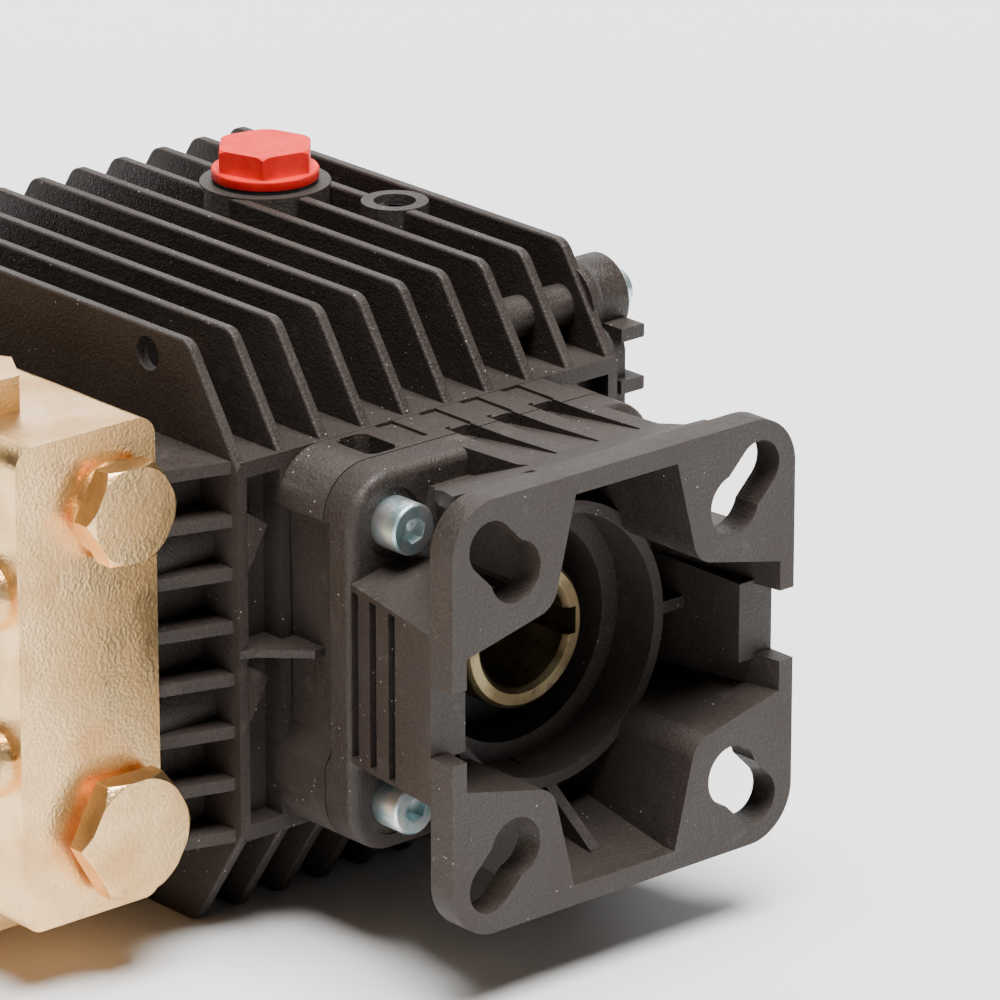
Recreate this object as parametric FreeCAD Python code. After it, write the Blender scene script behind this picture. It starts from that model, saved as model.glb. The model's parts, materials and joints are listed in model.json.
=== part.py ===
"""Triplex plunger pump of a pressure washer, with a hollow shaft and an engine flange.

Millimetres. The origin is the centre of the mounting flange's front face, on the shaft axis.
+Y runs from the engine into the pump, -X is the brass head side, +X the rear cover side, +Z up.
"""
import FreeCAD, Part
import os
from math import cos, sin, radians, sqrt

V = FreeCAD.Vector
AXES = {"x": V(1, 0, 0), "y": V(0, 1, 0), "z": V(0, 0, 1)}

# --- engine flange and bell housing ---
FLANGE = 102.0                 # side of the square mounting flange
HALF = FLANGE / 2
FLANGE_T = 7.3
CORNER_R = 12.5
BOLT_HALF = 32.56              # half the spacing of the inner engine bolts, 92.1 mm circle
SLOT_OUT = 39.8                # same for the outer end of each slotted hole
SLOT_R_IN = 7.2
SLOT_R_OUT = 6.2
WINDOW_TOP = 46.3
WINDOW_SIDE = 46.8
NOTCH_HALF = 8.5               # half height of the side notches
BASE_Y0 = 41.0                 # bell base, where its four screws sit
NECK_Y0 = 50.5                 # crankcase neck starts here
NECK_Y1 = 59.3
NECK_HALF = 45.2
NECK_R = 12.0
GASKET_T = 0.4
GASKET_HALF = 40.2             # the gasket stops short of the castings' edges
BELL_FLOOR = 37.0              # inside of the bell, round the shaft seal
SCREW_AT = 33.3                # screws stand square about the shaft
LIP_R_IN = 30.9
LIP_R_OUT = 33.7
LIP_Y = 24.6
WEB_T = 2.9
GROOVES = (23.6, 31.6, 39.2)   # upright grooves in the bell's cheeks
GROOVE_W = 2.8
SHELF_X = -11.0                # the bell's top stands over the corner shelf from here
SHELF_END = 38.5
POCKET_WALLS = (0.8, 13.2, 25.6)
POCKET_END = 54.6
STAY_T = 1.9                   # level stay from the neck to the end plate

# --- crankcase ---
BODY_Y0 = 66.0
FRONT_WALL = 72.0              # the body's front wall, set back behind the rims of deck and fins
BODY_Y1 = 219.0
DECK_Z = 45.3
FIN_COUNT = 10
FIN_PITCH = 12.31
FIN_X0 = -FIN_PITCH * (FIN_COUNT - 1) / 2   # the first fin is the end plate on the head side
FIN_T = 2.8
FIN_RUN = 17.0                 # the fins' slanted ends
FIN_TOP = 69.8
REAR_X = 58.0                  # joint face of the rear cover
HEAD_X = -75.0                 # joint face of the brass manifold
RIB_T = 2.9
RIB_PITCH = 12.6
FILL_XY = (31.9, 162.8)
FILL_TOP = 70.2
VENT_XY = (44.8, 130.8)
VENT_TOP = 70.0
EAR_R = 9.8                    # screw ears of the rear joint, and their bosses between the fins
BOSS_R = 4.9
BOSS_X = 30.0                  # the bosses cross the last two gaps between the fins
EARS = [(y, z) for y in (82.5, 202.5) for z in (54.4, -54.4)]

# --- crank drive ---
SHAFT_R = 17.5
SHAFT_BORE_R = 12.7
SHAFT_FRONT = 33.7
BORE_END = 92.0
KEY_W = 6.35
KEY_R = 15.2                   # keyway floor, measured from the shaft axis
CYLINDERS = (104.5, 142.5, 180.5)
PHASES = (0.0, 120.0, 240.0)
THROW = 3.0
ECC_R = 20.6
RING_R = 25.2                  # outside of a rod's big end
ROD_LENGTH = 38.0
ROD_W = 16.0
EYE_BORE_R = 11.4              # open pivot: the eye clears the wrist pin all round
EYE_R = 13.3
EYE_W = 10.0
PIN_R = 4.0
RUN_GAP = 0.05                 # radial clearance of a running fit
BEARING_R = 31.0
BEARING_W = 14.0
DRIVE_BEARING_Y = 74.0
BLIND_BEARING_Y = 197.0
SEAL_Y = 51.0
BALL_R = 4.4
BALL_CIRCLE = 24.25
GUIDE_R = 15.0
PLUNGER_R = 9.0
STEM_R = 5.0

# --- brass head ---
HEAD_FRONT = -118.0
HEAD_Y0 = 72.0
HEAD_Y1 = 216.0
HEAD_TOP = 60.0
HEAD_BOTTOM = -54.0
VALVE_X = -102.0
VALVE_R = 11.0
GALLERY_X = -87.0
SUCTION_Z = -35.0
SUCTION_R = 8.0
DELIVERY_Z = 41.0
DELIVERY_R = 6.0
VALVE_LIFT = 1.2
HEAD_SCREWS = [(y, z) for y in (82.5, 123.5, 161.5, 202.5) for z in (24.0, -15.0)]


# --- building blocks ---
def box(x0, x1, y0, y1, z0, z1):
    return Part.makeBox(x1 - x0, y1 - y0, z1 - z0, V(x0, y0, z0))


def rod(axis, at, radius, low, high):
    """Solid cylinder along an axis; at holds the two other coordinates in X, Y, Z order."""
    a, b = at
    start = {"x": V(low, a, b), "y": V(a, low, b), "z": V(a, b, low)}[axis]
    return Part.makeCylinder(radius, high - low, start, AXES[axis])


def ring(axis, at, outer, inner, low, high):
    return rod(axis, at, outer, low, high).cut(rod(axis, at, inner, low - 1, high + 1))


def prism(axis, points, low, high):
    """Polygon of the two other coordinates, pushed along an axis from low to high."""
    place = {
        "x": lambda a, b: V(low, a, b),
        "y": lambda a, b: V(a, low, b),
        "z": lambda a, b: V(a, b, low),
    }[axis]
    corners = [place(a, b) for a, b in points]
    face = Part.Face(Part.makePolygon(corners + corners[:1]))
    return face.extrude(AXES[axis] * (high - low))


def hexagon(axis, at, across_flats, low, high, turn=0.0):
    reach = across_flats / sqrt(3)
    angles = [radians(60 * i + turn) for i in range(6)]
    return prism(axis, [(at[0] + reach * cos(t), at[1] + reach * sin(t)) for t in angles], low, high)


def round_edges(shape, radius, wanted):
    """Fillets the edges for which wanted(middle point, edge) is true."""
    edges = [e for e in shape.Edges if wanted(e.valueAt((e.FirstParameter + e.LastParameter) / 2), e)]
    return shape.makeFillet(radius, edges)


def is_along(edge, axis):
    if len(edge.Vertexes) < 2:
        return False
    span = edge.Vertexes[1].Point - edge.Vertexes[0].Point
    return abs(span.normalize().dot(AXES[axis])) > 0.999


def rounded_block(axis, radius, x0, x1, y0, y1, z0, z1):
    return round_edges(box(x0, x1, y0, y1, z0, z1), radius, lambda p, e: is_along(e, axis))


def union(shapes):
    first, *rest = shapes
    return first.multiFuse(rest).removeSplitter() if rest else first


def cut_all(shape, tools):
    return shape.cut(Part.makeCompound(tools))


def cap_screw(axis, at, seat, head_r, head_h, shank_r, length, out):
    """Socket cap screw; out is +1 or -1, the way its head stands off the seat."""
    top = seat + out * head_h
    head = rod(axis, at, head_r, min(seat, top), max(seat, top))
    rim = [e for e in head.Edges if abs(e.BoundBox.Center.dot(AXES[axis]) - top) < 0.01]
    head = head.makeChamfer(0.5, rim)
    end = seat - out * length
    shank = rod(axis, at, shank_r, min(seat, end), max(seat, end))
    deep = top - out * head_h * 0.55
    socket = hexagon(axis, at, head_r * 0.92, min(deep, top + out), max(deep, top + out), 15)
    return head.fuse(shank).cut(socket)


def mirrored(points):
    """Closes a first-quadrant outline into all four quadrants."""
    right = points + [(a, -b) for a, b in reversed(points)]
    return right + [(-a, -b) for a, b in points] + [(-a, b) for a, b in reversed(points)]


# --- engine flange ---
def keyhole(sx, sz):
    """Slotted bolt hole on a diagonal: a large inner circle run into a smaller outer one."""
    inner = rod("y", (sx * BOLT_HALF, sz * BOLT_HALF), SLOT_R_IN, -1, FLANGE_T + 1)
    outer = rod("y", (sx * SLOT_OUT, sz * SLOT_OUT), SLOT_R_OUT, -1, FLANGE_T + 1)
    side = SLOT_R_OUT / sqrt(2)
    strip = [
        (sx * (BOLT_HALF - side), sz * (BOLT_HALF + side)),
        (sx * (BOLT_HALF + side), sz * (BOLT_HALF - side)),
        (sx * (SLOT_OUT + side), sz * (SLOT_OUT - side)),
        (sx * (SLOT_OUT - side), sz * (SLOT_OUT + side)),
    ]
    return union([inner, outer, prism("y", strip, -1, FLANGE_T + 1)])


def window(low, high):
    """Plus-shaped opening of the flange, which runs back to the bell's base."""
    quarter = [(15.1, WINDOW_TOP), (21.4, 21.5), (WINDOW_SIDE, 15.6)]
    shape = prism("y", mirrored(quarter), low, high)
    return round_edges(shape, 6.5, lambda p, e: is_along(e, "y") and abs(abs(p.x) - 21.4) < 0.1)


def gusset(side):
    """Upright web at the top or bottom of the bell, from the lip ring out to the wall."""
    points = [(BELL_FLOOR + 1, side * 30.0), (LIP_Y, side * 32.0), (LIP_Y, side * 34.0), (10.0, side * 44.6),
              (9.0, side * 47.0), (BELL_FLOOR + 1, side * 44.0)]
    return prism("x", points, -WEB_T / 2, WEB_T / 2)


def screw_places():
    return [(sx * SCREW_AT, sz * SCREW_AT) for sx in (-1, 1) for sz in (-1, 1)]


def neck_outline(low, high):
    """Square outline with round corners, which the bell's base and the crankcase neck share."""
    return rounded_block("y", NECK_R, -NECK_HALF, NECK_HALF, low, high, -NECK_HALF, NECK_HALF)


def drafted(shape, wide, narrow, low, high):
    """Trims the four outer sides of a shape, so that it narrows from low to high along Y."""
    corners = [(low, wide), (high, narrow), (high, wide + 20), (low, wide + 20)]
    span = HALF + 30
    wedges = []
    for side in (-1, 1):
        wedges.append(prism("x", [(y, side * far) for y, far in corners], -span, span))
        wedges.append(prism("z", [(side * far, y) for y, far in corners], -span, span))
    return cut_all(shape, wedges)


def bell_hollow():
    """Plus-shaped hollow of the bell, with a ceiling that comes down towards the back."""
    hollow = drafted(window(-1, BELL_FLOOR), WINDOW_SIDE, 41.0, 0, BELL_FLOOR)
    above = [(0, WINDOW_TOP), (BELL_FLOOR + 1, 35.0), (BELL_FLOOR + 1, 60), (0, 60)]
    return hollow.cut(prism("x", above, -HALF, HALF))


def top_sweep():
    """Material to take off the bell's top, which dips from the plate to the level of the base."""
    level = [(FLANGE_T + 1, HALF), (15.0, 48.0), (24.0, 45.9), (BASE_Y0, NECK_HALF), (BASE_Y0, 60),
             (FLANGE_T + 1, 60)]
    shelf = [(20.0, 46.8), (SHELF_END, 39.4), (BASE_Y0, 39.0), (BASE_Y0, 60), (20.0, 60)]
    return [prism("x", level, -HALF, HALF), prism("x", shelf, -HALF, SHELF_X)]


def corner_shelf():
    """Sloping three-cornered shelf behind the plate, over the upper screw on the head side."""
    section = [(FLANGE_T - 0.1, HALF - 0.2), (20.0, 46.8), (SHELF_END, 39.4), (BASE_Y0 + 0.5, 39.0),
               (BASE_Y0 + 0.5, 36.0), (SHELF_END, 36.4), (20.0, 43.0), (FLANGE_T - 0.1, 47.0)]
    outline = [(SHELF_X + 1, FLANGE_T - 1), (-45.0, FLANGE_T - 1), (-30.0, 30.0), (-20.0, BASE_Y0 + 0.5),
               (SHELF_X + 1, BASE_Y0 + 0.5)]
    return prism("x", section, -HALF, SHELF_X + 1).common(prism("z", outline, 30, HALF))


def top_pockets():
    """Cast pockets between the ribs on top of the bell and the neck."""
    deep = [(23.0, 46.5), (24.0, 45.6), (POCKET_END, 42.0), (POCKET_END, 50), (23.0, 50)]
    shallow = [(POCKET_END - 1, 44.5), (BODY_Y0, 44.5), (BODY_Y0, 50), (POCKET_END - 1, 50)]
    pockets = []
    for wall in POCKET_WALLS:
        pockets.append(prism("x", deep, wall - 6.8, wall))
        pockets.append(prism("x", shallow, wall - 5.0, wall + 0.6))
    pockets.append(prism("x", shallow, SHELF_X - 6.0, SHELF_X - 0.5))
    blind = rounded_block("z", 2.5, -30.4, -21.6, NECK_Y0 + 1, BODY_Y0 - 1.5, 38.5, 50)
    return pockets + [blind]


def mounting_flange():
    plate = rounded_block("y", CORNER_R, -HALF, HALF, 0, FLANGE_T, -HALF, HALF)
    outer = [(20.0, HALF), (25.6, 26.4), (26.4, 25.6), (HALF, 20.0)]
    walls = prism("y", mirrored(outer), FLANGE_T - 1, BASE_Y0)
    roof = box(SHELF_X, 31.0, FLANGE_T - 0.1, BASE_Y0, 41.6, HALF)
    walls = drafted(walls.fuse(roof), HALF, NECK_HALF, FLANGE_T, BASE_Y0)
    crown = box(SHELF_X, 31.0, BASE_Y0 - 0.5, BASE_Y0 + 2.6, 41.6, NECK_HALF)
    walls = cut_all(walls, top_sweep())
    base = neck_outline(BASE_Y0 - 0.5, NECK_Y0 - GASKET_T)
    base = round_edges(base, 2.5, lambda p, e: p.y < BASE_Y0)
    floor = neck_outline(BELL_FLOOR, BASE_Y0).common(walls)
    shell = union([plate, walls, crown, base, floor, corner_shelf()]).cut(bell_hollow())
    lip = ring("y", (0, 0), LIP_R_OUT, LIP_R_IN, LIP_Y, BELL_FLOOR + 0.5)
    side_webs = [box(min(sx * 33.0, sx * 43.0), max(sx * 33.0, sx * 43.0), 26.0, BELL_FLOOR + 0.5,
                     -WEB_T / 2, WEB_T / 2) for sx in (-1, 1)]
    cheeks = [box(min(sx * 41.0, sx * HALF), max(sx * 41.0, sx * HALF), FLANGE_T - 0.1, BELL_FLOOR + 0.5,
                  -9.5, 9.5) for sx in (-1, 1)]
    cheeks = [drafted(cheek, HALF, NECK_HALF, FLANGE_T, BASE_Y0) for cheek in cheeks]
    shell = union([shell, lip, gusset(1), gusset(-1)] + side_webs + cheeks)
    notches = [box(sx * 49.0 - 4, sx * 49.0 + 4, -1, FLANGE_T - 0.1, -NOTCH_HALF, NOTCH_HALF)
               for sx in (-1, 1)]
    holes = [keyhole(sx, sz) for sx in (-1, 1) for sz in (-1, 1)]
    screw_holes = [rod("y", at, 4.4, BASE_Y0 - 1, NECK_Y0) for at in screw_places()]
    screw_room = [rod("y", at, 8.0, FLANGE_T, BASE_Y0) for at in screw_places()]
    throat = rod("y", (0, 0), 26.2, BELL_FLOOR - 1, NECK_Y0)
    grooves = [box(sx * 48.5 - 5.0, sx * 48.5 + 5.0, y - GROOVE_W / 2, y + GROOVE_W / 2, -19.7, 19.7)
               for sx in (-1, 1) for y in GROOVES]
    step = side_hollows(NECK_Y0 - 2.5, NECK_Y0)
    openings = notches + holes + screw_holes + screw_room + [throat]
    return cut_all(shell, openings + grooves + step + top_pockets())


def flange_gasket():
    half = GASKET_HALF
    sheet = rounded_block("y", 8.0, -half, half, NECK_Y0 - GASKET_T, NECK_Y0, -half, half)
    holes = [rod("y", at, 4.4, 40, 60) for at in screw_places()]
    return cut_all(sheet, holes + [rod("y", (0, 0), 26.2, 40, 60)])


def flange_screws():
    return [cap_screw("y", at, BASE_Y0, 6.0, 8.0, 4.0, 22.0, -1) for at in screw_places()]


# --- crankcase ---
def fin(index):
    """Cooling fin across the top and bottom, with slanted ends and a softly rounded rim."""
    top = [(BODY_Y0, DECK_Z - 1), (BODY_Y0 + FIN_RUN, FIN_TOP), (BODY_Y1 - FIN_RUN, FIN_TOP),
           (BODY_Y1, DECK_Z - 1)]
    plate = prism("x", top + [(y, -z) for y, z in reversed(top)], -FIN_T / 2, FIN_T / 2)
    plate = round_edges(plate, 4.6, lambda p, e: is_along(e, "x") and BODY_Y0 + 1 < p.y < BODY_Y1 - 1)
    plate = round_edges(plate, 0.7, lambda p, e: not is_along(e, "x") and abs(p.z) > DECK_Z)
    plate.translate(V(FIN_X0 + index * FIN_PITCH, 0, 0))
    return plate


def head_block():
    """Ribbed block between the end plate and the brass manifold, which holds the plunger guides."""
    core = box(HEAD_X, FIN_X0, BODY_Y0 + 13, BODY_Y1 - 13, -43, 43)
    outline = [(FIN_X0, BODY_Y0 + 1.5), (HEAD_X, BODY_Y0 + 7.5), (HEAD_X, BODY_Y1 - 7.5),
               (FIN_X0, BODY_Y1 - 1.5)]
    ribs = []
    for step in (-3.5, -2.5, -1.5, -0.5, 0.5, 1.5, 2.5, 3.5):
        ribs.append(prism("z", outline, step * RIB_PITCH - RIB_T / 2, step * RIB_PITCH + RIB_T / 2))
    bosses = [rod("x", at, 8.0, HEAD_X, FIN_X0) for at in HEAD_SCREWS]
    return [core] + ribs + bosses


def rear_outline(low, high):
    """Rounded joint face of the rear cover with four screw ears."""
    plate = rounded_block("x", 6.0, low, high, 69, BODY_Y1 - 3, -DECK_Z - 5, DECK_Z + 5)
    return union([plate] + [rod("x", at, EAR_R, low, high) for at in EARS])


def side_hollows(low, high):
    """Shallow hollows along both sides of the neck."""
    hollows = []
    for side in (-1, 1):
        far = side * (NECK_HALF + 1)
        outline = [(far, 34.5), (side * 41.5, 31.0), (side * 40.5, 0), (side * 41.5, -19.0), (far, -27.0)]
        hollows.append(prism("y", outline, low, high))
    return hollows


def neck():
    """Square neck with hollowed sides, level stays and small corner gussets in front of the body."""
    shell = cut_all(neck_outline(NECK_Y0, BODY_Y0 + 2), side_hollows(NECK_Y0 - 1, BODY_Y0 + 3))
    shell = shell.cut(box(33.5, NECK_HALF + 1, NECK_Y1, BODY_Y0 + 1, 31.0, NECK_HALF + 1))
    webs = []
    for side in (-1, 1):
        stay = [(side * 56.5, FRONT_WALL + 1), (side * 56.5, BODY_Y0), (side * 53.0, BODY_Y0 - 1.5),
                (side * 43.5, NECK_Y0 + 5), (side * 39.0, NECK_Y0 + 5), (side * 39.0, FRONT_WALL + 1)]
        webs.append(prism("z", stay, -STAY_T / 2, STAY_T / 2))
        for low, high in ((20.0, 33.5), (-16.0, -3.0)):
            corner = [(side * 54.5, high), (side * 49.0, (low + high) / 2 + 3), (side * 54.5, low)]
            webs.append(prism("y", corner, BODY_Y0 - 1, FRONT_WALL + 1))
    return [shell] + webs


def front_recesses():
    """Recesses in the body's front wall between the neck and the outer fins."""
    edge = -FIN_X0 - FIN_T / 2
    return [box(low, high, BODY_Y0 - 1, FRONT_WALL, -41.5, 41.5) for low, high in ((-edge, -41.0), (41.0, edge))]


def crankcase():
    body = cut_all(box(FIN_X0, REAR_X - 2, BODY_Y0, BODY_Y1, -DECK_Z, DECK_Z), front_recesses())
    fins = [fin(i) for i in range(FIN_COUNT)]
    ears = [rod("x", at, BOSS_R, BOSS_X, REAR_X) for at in EARS]
    fill_boss = rod("z", FILL_XY, 15.6, DECK_Z - 1, FILL_TOP)
    vent_boss = rod("z", VENT_XY, 8.0, DECK_Z - 1, VENT_TOP)
    rear = rear_outline(-FIN_X0, REAR_X)
    outside = union([body, rear, fill_boss, vent_boss] + neck() + fins + ears + head_block())
    cavity = rounded_block("x", 8.0, -48, REAR_X + 1, 77, 211, -39, 39)
    housings = [rod("y", (0, 0), 38.0, 73, 88.2), rod("y", (0, 0), 38.0, 196.8, 212)]
    room = cavity.cut(Part.makeCompound(housings))
    bores = [
        rod("y", (0, 0), 26.0, NECK_Y0 - 1, SEAL_Y + 9),
        rod("y", (0, 0), 22.0, SEAL_Y + 8, 80),
        rod("y", (0, 0), BEARING_R, DRIVE_BEARING_Y, 90),
        rod("y", (0, 0), BEARING_R, 195, BODY_Y1 + 1),
        rod("z", FILL_XY, 9.2, 35, FILL_TOP + 1),
        rod("z", VENT_XY, 5.0, 55, VENT_TOP + 1),
        rod("x", (97.0, 63.5), 4.0, FIN_X0 - 3, FIN_X0 + 3),
    ]
    for y in CYLINDERS:
        bores.append(rod("x", (y, 0), PLUNGER_R + 0.6, HEAD_X - 1, -70))
        bores.append(rod("x", (y, 0), GUIDE_R + RUN_GAP, -72.5, -40))
        bores.append(box(-55.4, -47, y - EYE_W / 2 - 0.6, y + EYE_W / 2 + 0.6, -19, 19))
    bores += [rod("x", at, 4.0, HEAD_X - 1, -58) for at in HEAD_SCREWS]
    bores += [rod("y", at, 4.0, NECK_Y0 - 1, 64) for at in screw_places()]
    bores += [rod("x", at, 3.0, 38, REAR_X + 1) for at in EARS]
    bores += [rod("y", at, 3.0, 205, BODY_Y1 + 1) for at in end_cover_places()]
    return cut_all(outside, [room] + bores + top_pockets())


# --- rear cover ---
SIGHT = (142.5, 0.0)
DRAIN = (142.5, -32.0)
COVER_X0 = REAR_X + 0.7
COVER_X1 = 62.0
COVER_FIN_X = 66.5
COVER_RIBS = [49.5 - 12.7 * i for i in range(8)]


def rear_cover():
    plate = rear_outline(COVER_X0, COVER_X1)
    fins = [box(COVER_X0, COVER_FIN_X, BODY_Y0 + 0.7, BODY_Y1 - 0.7, z - 1.6, z + 1.6) for z in COVER_RIBS]
    fins = [round_edges(bar, 1.2, lambda p, e: p.x > COVER_FIN_X - 0.1) for bar in fins]
    ears = [rod("x", at, EAR_R, COVER_X0, COVER_FIN_X) for at in EARS]
    bosses = [rod("x", SIGHT, 18.0, COVER_X0, COVER_FIN_X), rod("x", DRAIN, 11.0, COVER_X0, COVER_FIN_X)]
    holes = [rod("x", at, 3.2, 50, 70) for at in EARS]
    holes += [rod("x", SIGHT, 11.0, 50, 70), rod("x", SIGHT, 14.0, COVER_FIN_X - 3, 70)]
    holes.append(rod("x", DRAIN, 6.6, 50, 70))
    return cut_all(union([plate] + fins + ears + bosses), holes)


def rear_cover_gasket():
    sheet = rear_outline(REAR_X, COVER_X0)
    opening = rounded_block("x", 8.0, REAR_X - 1, COVER_X0 + 1, 76, 209, -39, 39)
    return cut_all(sheet, [opening] + [rod("x", at, 3.2, 50, 70) for at in EARS])


def rear_cover_screws():
    return [cap_screw("x", at, COVER_FIN_X, 5.0, 6.0, 3.0, 24.0, 1) for at in EARS]


def sight_glass():
    return rod("x", SIGHT, 13.9, COVER_FIN_X - 3, COVER_FIN_X - 0.6)


def sight_glass_ring():
    outer = ring("x", SIGHT, 17.0, 10.5, COVER_FIN_X, COVER_FIN_X + 1.6)
    inner = ring("x", SIGHT, 13.9, 10.5, COVER_FIN_X - 0.6, COVER_FIN_X)
    return outer.fuse(inner)


def oil_drain_plug():
    head = hexagon("x", DRAIN, 17.0, COVER_FIN_X + 1.4, COVER_FIN_X + 8.4)
    flange = rod("x", DRAIN, 10.4, COVER_FIN_X + 1.2, COVER_FIN_X + 2.6)
    return union([head, flange, rod("x", DRAIN, 6.5, COVER_X0 - 3, COVER_FIN_X + 1.3)])


def oil_drain_washer():
    return ring("x", DRAIN, 10.2, 6.7, COVER_FIN_X, COVER_FIN_X + 1.2)


# --- oil filling and venting ---
def oil_fill_plug():
    seat = FILL_TOP + 1.0
    flange = rod("z", FILL_XY, 12.8, seat, seat + 2.4)
    flange = flange.makeFillet(0.6, [e for e in flange.Edges if e.BoundBox.ZMin > seat + 2.0])
    head = hexagon("z", FILL_XY, 21.2, seat + 2.3, seat + 8.0, 48)
    cone = Part.makeCone(17.2, 11.3, 5.8, V(FILL_XY[0], FILL_XY[1], seat + 2.3))
    thread = rod("z", FILL_XY, 8.9, FILL_TOP - 15, seat + 0.1)
    return union([flange, head.common(cone), thread])


def oil_fill_seal():
    return ring("z", FILL_XY, 12.6, 9.2, FILL_TOP, FILL_TOP + 1.0)


def deck_screw_plug():
    body = rod("z", VENT_XY, 4.95, VENT_TOP - 14, VENT_TOP - 1.8)
    return body.cut(hexagon("z", VENT_XY, 5.0, VENT_TOP - 5.5, VENT_TOP))


# --- shaft line ---
def end_cover_places():
    return [(36.0 * cos(radians(a)), 36.0 * sin(radians(a))) for a in (45, 135, 225, 315)]


def eccentric(index):
    angle = radians(PHASES[index])
    y = CYLINDERS[index]
    at = (THROW * cos(angle), THROW * sin(angle))
    return rod("y", at, ECC_R, y - ROD_W / 2 - 0.5, y + ROD_W / 2 + 0.5)


def crankshaft():
    """Hollow drive end with a keyway, three eccentrics and a plain blind journal."""
    journal = rod("y", (0, 0), SHAFT_R, SHAFT_FRONT, BLIND_BEARING_Y + BEARING_W)
    journal = journal.makeChamfer(1.0, [e for e in journal.Edges if e.BoundBox.YMax < SHAFT_FRONT + 0.01])
    shoulders = [rod("y", (0, 0), 20.0, 88.2, 96.1), rod("y", (0, 0), 20.0, 188.9, 196.8)]
    shaft = union([journal] + shoulders + [eccentric(i) for i in range(3)])
    bore = rod("y", (0, 0), SHAFT_BORE_R, SHAFT_FRONT - 1, BORE_END)
    mouth = Part.makeCone(SHAFT_BORE_R + 1.2, SHAFT_BORE_R, 1.2, V(0, SHAFT_FRONT, 0), AXES["y"])
    keyway = box(0, KEY_R, SHAFT_FRONT - 1, BORE_END, -KEY_W / 2, KEY_W / 2)
    return cut_all(shaft, [bore, mouth, keyway])


def race_groove(y):
    return Part.makeTorus(BALL_CIRCLE, BALL_R + 0.3, V(0, y + BEARING_W / 2, 0), AXES["y"])


def bearing_outer_rings():
    return [ring("y", (0, 0), BEARING_R, 27.0, y, y + BEARING_W).cut(race_groove(y))
            for y in (DRIVE_BEARING_Y, BLIND_BEARING_Y)]


def bearing_inner_rings():
    return [ring("y", (0, 0), 21.5, SHAFT_R, y, y + BEARING_W).cut(race_groove(y))
            for y in (DRIVE_BEARING_Y, BLIND_BEARING_Y)]


def bearing_balls():
    """Balls of both bearings, which stand clear of their race grooves."""
    balls = []
    for y in (DRIVE_BEARING_Y, BLIND_BEARING_Y):
        for i in range(9):
            angle = radians(40 * i)
            centre = V(BALL_CIRCLE * cos(angle), y + BEARING_W / 2, BALL_CIRCLE * sin(angle))
            balls.append(Part.makeSphere(BALL_R, centre))
    return balls


def shaft_oil_seal():
    case = ring("y", (0, 0), 26.0, 22.5, SEAL_Y, SEAL_Y + 8)
    front = ring("y", (0, 0), 26.0, SHAFT_R + 0.6, SEAL_Y, SEAL_Y + 2)
    lip = ring("y", (0, 0), 22.6, SHAFT_R + RUN_GAP, SEAL_Y + 1.5, SEAL_Y + 4)
    return union([case, front, lip])


def end_cover():
    """Round cap that closes the blind bearing, with a spigot and a raised rim."""
    flange = rod("y", (0, 0), 42.0, BODY_Y1, BODY_Y1 + 6)
    spigot = rod("y", (0, 0), BEARING_R - 0.1, 211.3, BODY_Y1 + 1)
    hub = rod("y", (0, 0), 24.0, BODY_Y1 + 5, BODY_Y1 + 9)
    hollow = rod("y", (0, 0), 24.0, 210, 217)
    holes = [rod("y", at, 3.2, 210, 230) for at in end_cover_places()]
    return cut_all(union([flange, spigot, hub]), [hollow] + holes)


def end_cover_screws():
    return [cap_screw("y", at, BODY_Y1 + 6, 5.0, 6.0, 3.0, 18.0, 1) for at in end_cover_places()]


# --- rods, guides and plungers ---
def crank_pin(index):
    angle = radians(PHASES[index])
    return THROW * cos(angle), THROW * sin(angle)


def wrist_x(index):
    """Where the wrist pin of a cylinder lies at rest, from the rod's true length."""
    pin_x, pin_z = crank_pin(index)
    return pin_x - sqrt(ROD_LENGTH ** 2 - pin_z ** 2)


def connecting_rod(index):
    """One-piece rod: a ring on the eccentric, a flat shank and an open eye in the guide."""
    y = CYLINDERS[index]
    pin_x, pin_z = crank_pin(index)
    wrist = wrist_x(index)
    big_end = rod("y", (pin_x, pin_z), RING_R, y - ROD_W / 2, y + ROD_W / 2)
    eye = rod("y", (wrist, 0), EYE_R, y - EYE_W / 2, y + EYE_W / 2)
    lean = pin_z / (pin_x - wrist)
    shank_ends = [(wrist + 8, 8 * lean - 6), (wrist + 8, 8 * lean + 6),
                  (pin_x - ECC_R, pin_z - ECC_R * lean + 9), (pin_x - ECC_R, pin_z - ECC_R * lean - 9)]
    shank = prism("y", shank_ends, y - EYE_W / 2, y + EYE_W / 2)
    big_bore = rod("y", (pin_x, pin_z), ECC_R + RUN_GAP, y - 20, y + 20)
    eye_bore = rod("y", (wrist, 0), EYE_BORE_R, y - 20, y + 20)
    return cut_all(union([big_end, eye, shank]), [big_bore, eye_bore])


def plunger_guide(index):
    """Crosshead: a round skirt, a fork for the wrist pin and a stem for the plunger."""
    y = CYLINDERS[index]
    x = wrist_x(index)
    skirt = rod("x", (y, 0), GUIDE_R, x - 31, x + 5.5)
    stem = rod("x", (y, 0), STEM_R, x - 55, x - 30)
    slot = box(x - 20.4, x + 8, y - EYE_W / 2 - 0.5, y + EYE_W / 2 + 0.5, -20, 20)
    pin_hole = rod("y", (x, 0), PIN_R, y - 20, y + 20)
    thread = rod("x", (y, 0), 2.5, x - 56, x - 40)
    return cut_all(skirt.fuse(stem), [slot, pin_hole, thread])


def wrist_pin(index):
    return rod("y", (wrist_x(index), 0), PIN_R, CYLINDERS[index] - 13.8, CYLINDERS[index] + 13.8)


def plunger(index):
    """Ceramic sleeve on the guide's stem."""
    x = wrist_x(index)
    return ring("x", (CYLINDERS[index], 0), PLUNGER_R, STEM_R, x - 55, x - 31)


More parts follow.
